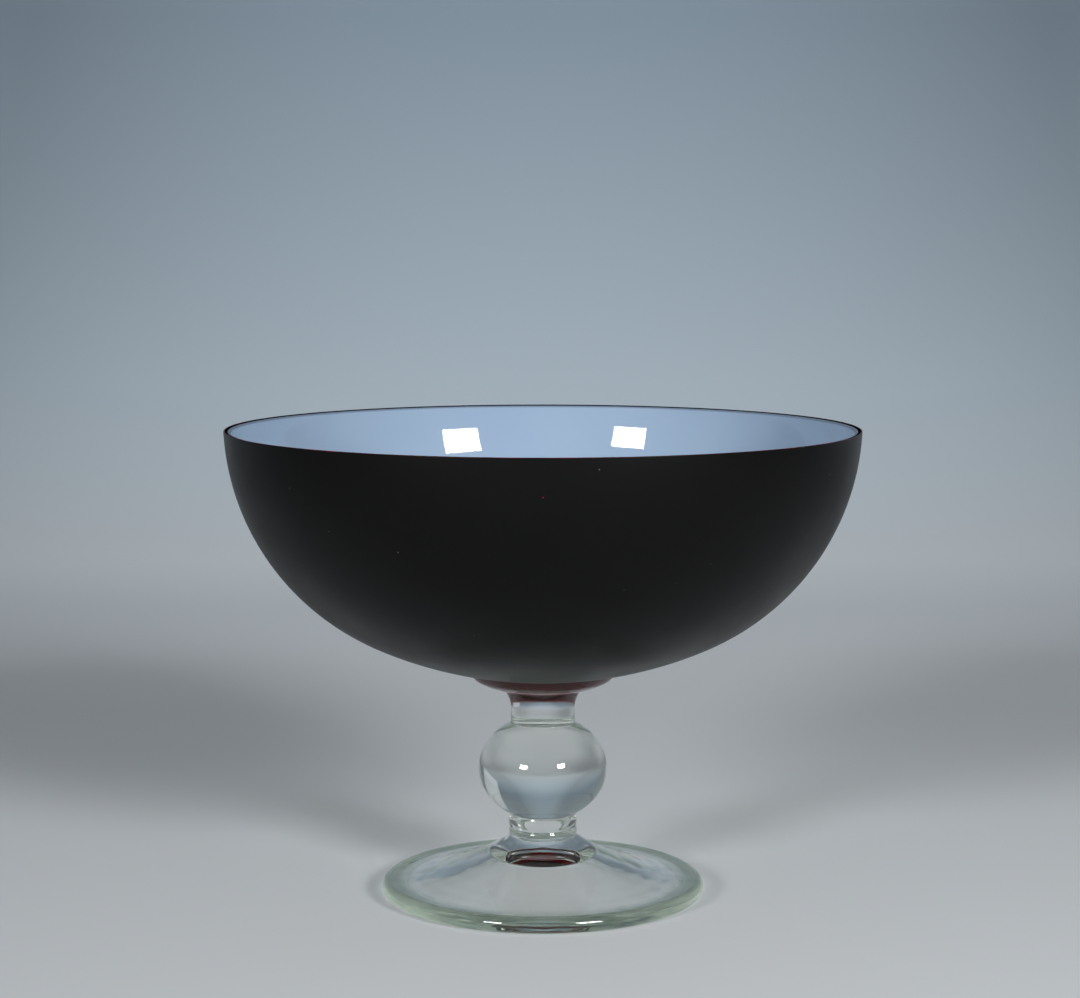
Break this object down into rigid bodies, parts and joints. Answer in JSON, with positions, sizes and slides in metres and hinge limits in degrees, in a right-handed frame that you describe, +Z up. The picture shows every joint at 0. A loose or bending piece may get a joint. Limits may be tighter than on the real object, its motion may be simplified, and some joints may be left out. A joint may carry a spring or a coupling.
{
  "type": "footed glass bowl",
  "caption": "Round footed bowl in cased glass with a pale lining and a black satin outside, on a clear ball stem and a wide flat foot; holds fruit or sweets on a table.",
  "frame": {"origin": "middle of the plane that the foot stands on", "axes": "+Z up along the axis of the stem and the bowl; the bowl is round, so X and Y are any two level directions"},
  "size_m": [0.2, 0.2, 0.1494],
  "materials": {
    "opal_glass": "fire-polished opal glass, glossy",
    "ruby_glass": "deep ruby glass, glossy",
    "black_satin": "black glass etched to a fine satin",
    "clear_glass": "clear glass with a trace of green, fire-polished"
  },
  "bodies": {
    "root": {"opal_lining": "opal_glass", "ruby_casing": "ruby_glass", "black_satin_coat": "black_satin", "stem_wafer": "clear_glass", "stem_neck": "clear_glass", "ball_knop": "clear_glass", "stem_collar": "clear_glass", "foot": "clear_glass"}
  },
  "joints": []
}
